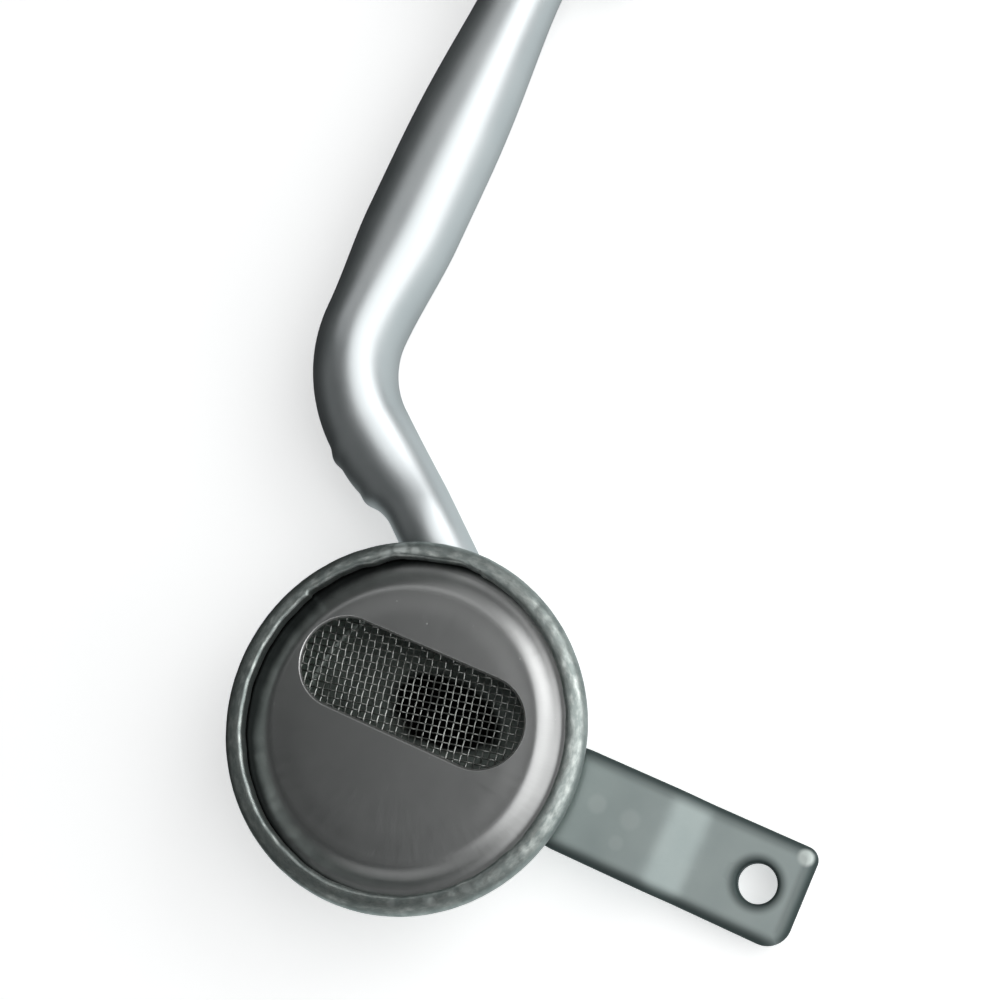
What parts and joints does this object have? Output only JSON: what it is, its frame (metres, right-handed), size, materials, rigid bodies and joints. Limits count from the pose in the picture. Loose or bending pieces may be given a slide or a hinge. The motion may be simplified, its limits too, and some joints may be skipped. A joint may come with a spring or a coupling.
{
  "type": "oil pickup tube",
  "caption": "Oil pickup with a round strainer cup, slotted cover over a wire screen, bent suction tube, bolt-on strap bracket and pump flange.",
  "frame": {"origin": "centre of the screen housing's flat back face", "axes": "+Z out of the slotted cover, +X along the bracket and the inlet slot, +Y along the tube's main run towards the pump flange"},
  "size_m": [0.1659, 0.2295, 0.03],
  "materials": {
    "tube_steel": "satin silver-white",
    "housing_steel": "matte grey-green, worn bright on the rolled rim",
    "cover_steel": "satin grey, lightly scratched",
    "screen_wire": "woven bright wire",
    "bracket_steel": "matte grey-green",
    "flange_steel": "matte grey",
    "filler_metal": "dull silver-bronze braze"
  },
  "bodies": {
    "root": {"pickup_tube": "tube_steel", "screen_housing": "housing_steel", "cover_plate": "cover_steel", "wire_screen": "screen_wire", "mounting_bracket": "bracket_steel", "pump_flange": "flange_steel", "tube_braze": "filler_metal", "flange_braze": "filler_metal", "bracket_weld": "bracket_steel"}
  },
  "joints": []
}
